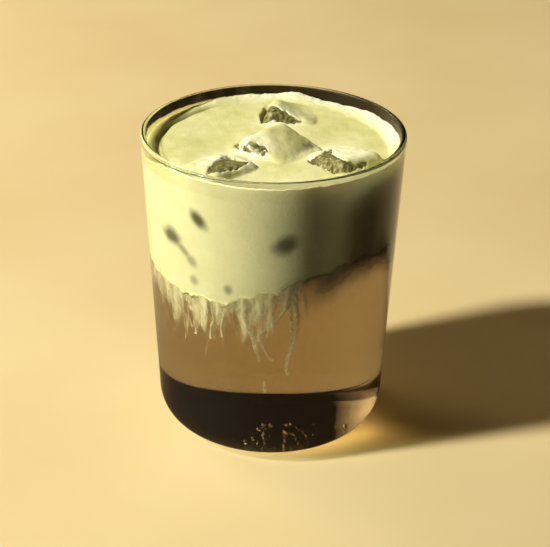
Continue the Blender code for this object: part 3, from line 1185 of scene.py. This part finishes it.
def add_short_threads(shape):
    """A fringe of thin strands all round, longest at the front."""
    draw = random.Random(5)
    apart = 360 / SHORT_THREADS
    for index in range(SHORT_THREADS):
        turn = -180 + apart * index + draw.uniform(-2.4, 2.4)
        if BARE_SIDE_DEG[0] < turn < BARE_SIDE_DEG[1]:
            continue
        place = on_wall(turn, LAYER_LEVEL)
        start = layer_height(place.x, place.y) + 2 * MM
        part = 1 if FULL_LENGTH_DEG[0] < turn < FULL_LENGTH_DEG[1] else SHORTER_SHARE
        length = (4 + 15 * draw.random() ** 1.5) * MM * part + 3 * MM
        inward = draw.uniform(0.3, 3.5) * MM
        lean = draw.uniform(-5, 5)
        path = []
        for step in range(SHORT_THREAD_RINGS):
            share = step / (SHORT_THREAD_RINGS - 1)
            sway = 1.6 * noise.noise(Vector((turn, share * 2.5, 4.4)))
            round_to = turn + lean * share * share + sway
            path.append(on_wall(round_to, start - length * share, inward + share * MM))
        top = draw.uniform(0.8, 2.2) * MM
        tip = draw.uniform(0.3, 0.5) * MM
        radii = thread_radii(SHORT_THREAD_RINGS, top, tip, SHORT_THREAD_BEAD)
        add_strand(shape, path, radii, SHORT_THREAD_SIDES)


def make_threads():
    """Milk threads sinking from the matcha, long ones at the front and short ones all round."""
    shape = bmesh.new()
    add_long_threads(shape)
    add_short_threads(shape)
    bmesh.ops.recalc_face_normals(shape, faces=shape.faces)
    threads = object_from(shape, "milk_threads", sinking_milk())

    def body(point):
        depth = layer_height(point.x, point.y) - point.z
        return 1 - 0.45 * smooth_step(depth / (25 * MM))

    paint(threads, "body", body)
    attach(threads, "root")


# Milk veils: how far in from the wall each hangs
VEIL_DEPTHS_MM = (-0.10, 0.5, 1.4, 2.8, 4.6, 7.5, 11.5)
CLOUDED_TO_MM = 2  # veils nearer the wall than this cloud over on the shaded side
VEIL_LENGTH = 30 * MM
VEIL_OVERLAP = 5 * MM
VEIL_LOWEST = FLOOR_THICKNESS + 2 * MM
VEIL_STEPS = 192
VEIL_ROWS = 22


def shade(turn):
    """1 on the side that the key light doesn't reach, from 8 to 150 degrees round."""
    return smooth_step((turn - 8) / 22) * smooth_step((150 - turn) / 30)


def make_veils():
    """Thin clouds of milk, one behind the other, from the matcha's lower edge down."""
    shape = bmesh.new()
    below = shape.verts.layers.float.new("below")
    lit = shape.verts.layers.float.new("lit")
    cloud = shape.verts.layers.float.new("cloud")
    for depth in VEIL_DEPTHS_MM:
        rows = []
        for row in range(VEIL_ROWS + 1):
            made = bmesh.ops.create_circle(shape, cap_ends=False, segments=VEIL_STEPS, radius=1)
            share = row / VEIL_ROWS
            for vertex in made["verts"]:
                turn = around(vertex.co.x, vertex.co.y)
                wall = on_wall(turn, LAYER_LEVEL, depth * MM)
                top = layer_height(wall.x, wall.y) + VEIL_OVERLAP
                z = max(top - (VEIL_LENGTH + VEIL_OVERLAP) * share, VEIL_LOWEST)
                vertex.co = on_wall(turn, z, depth * MM)
                vertex[below] = share
                shaded = shade(turn)
                vertex[lit] = (1 - 0.85 * shaded) * (1 - 0.4 * smooth_step((-32 - turn) / 15))
                if depth < CLOUDED_TO_MM:
                    length = 0.38 + 0.14 * ripple(wall.x, wall.y, 0, 7 * MM, 6.6)
                    fade = smooth_step((share - 0.03) / 0.1)
                    fade *= 1 - smooth_step((share - 0.12) / length)
                    vertex[cloud] = 0.75 * shaded * fade
            rows.append(made["verts"])
        for upper, lower in zip(rows, rows[1:]):
            edges = [e for v in upper for e in v.link_edges if e.other_vert(v) in upper]
            edges += [e for v in lower for e in v.link_edges if e.other_vert(v) in lower]
            bmesh.ops.bridge_loops(shape, edges=list(set(edges)))
    bmesh.ops.recalc_face_normals(shape, faces=shape.faces)
    veils = object_from(shape, "milk_veils", milk_veil())
    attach(veils, "root")


# The film of painted shade on the glass above the foam
FILM_FOOT = 94.5 * MM
FILM_TOP = 100.95 * MM
FILM_OFF_GLASS = 0.08 * MM
FILM_ROWS = 24
FILM_LIP_STEPS = 8
FILM_LIP_SHARE = 0.45
FILM_STEPS = 384
FILM_RIPPLES = ((0.32 * MM, 2.2 * MM, 7.7),)


def film_strength(point):
    """Darkest round the back, faint at the front, gone at its top edge."""
    turn = around(point.x, point.y)
    back = smooth_step((degrees_apart(turn, 0) - 72) / 30)
    right = 1 - 0.2 * smooth_step(1 - degrees_apart(turn, 92) / 40)
    top = smooth_step((FILM_TOP - point.z) / (0.25 * MM))
    return top * right * mix(0.30, 1.0, back)


def film_foam(point):
    """1 where foam still clings in a thin layer, up to the clinging foam's ragged edge."""
    turn = around(point.x, point.y)
    shrunk = smooth_step((TROUGH_SPREAD_DEG + 6 - degrees_apart(turn, TROUGH_DEG)) / 14)
    edge = collar_at(turn)[0] + ripples(point.x, point.y, 0, FILM_RIPPLES)
    return shrunk * smooth_step((edge - point.z) / (0.3 * MM) + 0.5)


def make_film():
    """The dark brown wash of painted shade on the glass between the foam and the rim."""
    profile = []
    for row in range(FILM_ROWS + 1):
        z = mix(FILM_FOOT, HEIGHT - RIM_WALL / 2, row / FILM_ROWS)
        profile.append((inner_radius(z) - FILM_OFF_GLASS, z))
    profile += lip(FILM_LIP_STEPS, FILM_OFF_GLASS, FILM_LIP_SHARE)[1:]
    shape = turned_shape(profile, FILM_STEPS)
    film = object_from(shape, "shade_film_above_foam", shade_film_and_clinging_foam())
    paint(film, "strength", film_strength)
    paint(film, "foamy", film_foam)
    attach(film, "root")


BEADS = 26
BEAD_TURNS_DEG = (-20, 60)
BEAD_PLACES_MM = (6, 24)  # out from the middle
BEAD_RADII_MM = (0.25, 0.75)


def make_beads():
    """Small air beads that cling to the glass floor, near the front."""
    draw = random.Random(11)
    shape = bmesh.new()
    for _ in range(BEADS):
        turn = math.radians(draw.uniform(*BEAD_TURNS_DEG))
        radius = draw.uniform(*BEAD_PLACES_MM) * MM
        size = draw.uniform(*BEAD_RADII_MM) * MM
        place = (radius * math.sin(turn), -radius * math.cos(turn), FLOOR_THICKNESS + size * 0.9)
        bmesh.ops.create_uvsphere(
            shape, u_segments=10, v_segments=7, radius=size, matrix=Matrix.Translation(place)
        )
    beads = object_from(shape, "air_beads_on_floor", trapped_air())
    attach(beads, "root")


# ---------------------------------------------------------------- floor, light and camera

FLOOR_HALF = 4.0  # metres
FLOOR_GAP = 0.3 * MM  # a hair of air under the foot, so that the foot mirrors and bends light
CARD_PLACE = (-0.9, 1.0, 0.6)  # metres
CARD_HALF = 0.5
CARD_TURN_DEG = 35
KEY_DISTANCE = 2.4  # metres
KEY_WIDTH = 0.25
KEY_TURN_DEG = 20  # forwards from the left
KEY_RISE_DEG = 42
KEY_WATTS = 90
AIM_HEIGHT = 50 * MM
CAMERA_ROLL_DEG = 0.82


def make_floor():
    """A wide sheet of paper under the glass, which has no part in the object."""
    shape = bmesh.new()
    bmesh.ops.create_grid(
        shape,
        x_segments=4,
        y_segments=4,
        size=FLOOR_HALF,
        matrix=Matrix.Translation((0, 0, -FLOOR_GAP)),
    )
    floor = object_from(shape, "floor", sand_paper_floor())


def glow_card():
    """A card that glows warm at its left and fades to nothing at its right."""
    material, tree = blank_material("glow_card")
    place = node(tree, "ShaderNodeTexCoord").outputs["Object"]
    along = node(tree, "ShaderNodeSeparateXYZ", {0: place}).outputs["X"]
    strength = node(
        tree,
        "ShaderNodeMapRange",
        {0: along, "From Min": -1.1, "From Max": -0.4, "To Min": 4.6, "To Max": 0.0},
        interpolation_type="SMOOTHSTEP",
    ).outputs[0]
    glow = node(tree, "ShaderNodeEmission", {"Color": linear("#ffe2ae"), "Strength": strength})
    node(tree, "ShaderNodeOutputMaterial", {"Surface": glow.outputs[0]})
    return material


def make_card():
    """A dim card behind and to the left, out of view, that shows only in the glass base."""
    upright_card = Matrix.Rotation(math.radians(90), 4, "X")
    turned = Matrix.Rotation(math.radians(CARD_TURN_DEG), 4, "Z") @ upright_card
    shape = bmesh.new()
    bmesh.ops.create_grid(shape, x_segments=2, y_segments=2, size=CARD_HALF)
    bmesh.ops.transform(shape, matrix=Matrix.Translation(CARD_PLACE) @ turned, verts=shape.verts)
    card = object_from(shape, "card", glow_card())


def soft_lamp(name, place, aim, size, watts, colour):
    """A round area lamp at a place, turned to its aim."""
    light = bpy.data.lights.new(name, "AREA")
    light.shape = "DISK"
    light.size = size
    light.energy = watts
    light.color = linear(colour)[:3]
    lamp = bpy.data.objects.new(name, light)
    bpy.context.scene.collection.objects.link(lamp)
    lamp.location = place
    lamp.rotation_mode = "QUATERNION"
    lamp.rotation_quaternion = (aim - place).to_track_quat("-Z", "Y")


def light_scene():
    """One warm key light from the left, low enough for a long shade, in a dim warm room."""
    turn, rise = math.radians(KEY_TURN_DEG), math.radians(KEY_RISE_DEG)
    aim = Vector((0, 0, AIM_HEIGHT))
    towards = Vector(
        (-math.cos(rise) * math.cos(turn), -math.cos(rise) * math.sin(turn), math.sin(rise))
    )
    soft_lamp("key", aim + KEY_DISTANCE * towards, aim, KEY_WIDTH, KEY_WATTS, "#fffdec")
    world = bpy.data.worlds.new("dim_room")
    world.use_nodes = True
    background = world.node_tree.nodes["Background"]
    background.inputs["Color"].default_value = (1.0, 0.8, 0.45, 1)
    background.inputs["Strength"].default_value = 0.007
    bpy.context.scene.world = world


def aim_camera():
    """The photograph's view, fitted to the glass's outline: its sizes here are in its pixels."""
    width, height, focal = 550, 547, 1801
    glass_x, glass_y = 271.7, 274.0  # where the middle of the glass falls
    away = 588 * MM
    camera = bpy.data.cameras.new("photo_view")
    camera.sensor_width = 36
    camera.lens = focal / width * camera.sensor_width
    camera.clip_start = 10 * MM
    holder = bpy.data.objects.new("photo_view", camera)
    bpy.context.scene.collection.objects.link(holder)
    middle = HEIGHT / 2
    place = Vector((0, -away * math.cos(VIEW_RISE), middle + away * math.sin(VIEW_RISE)))
    right = (width / 2 - glass_x) / focal * away
    raised = (glass_y - height / 2) / focal * away
    aim = Vector((right, raised * math.sin(VIEW_RISE), middle + raised * math.cos(VIEW_RISE)))
    holder.location = place
    holder.rotation_mode = "QUATERNION"
    look = (aim - place).to_track_quat("-Z", "Y")
    holder.rotation_quaternion = look @ Quaternion((0, 0, 1), math.radians(CAMERA_ROLL_DEG))
    bpy.context.scene.camera = holder


def set_quality():
    """Enough bounces for light to cross the glass, the drink and every veil."""
    scene = bpy.context.scene
    scene.view_settings.view_transform = "Standard"
    scene.cycles.use_denoising = True
    scene.cycles.max_bounces = 24
    scene.cycles.transmission_bounces = 16
    scene.cycles.transparent_max_bounces = 40


def main():
    ice = [ice_shape(name) for name in ICE_NODES]
    foam = Foam(ice)
    make_tumbler()
    make_clear_drink()
    make_matcha(foam)
    make_ice(ice)
    make_threads()
    make_veils()
    make_film()
    make_beads()
    make_floor()
    make_card()
    light_scene()
    aim_camera()
    set_quality()


main()
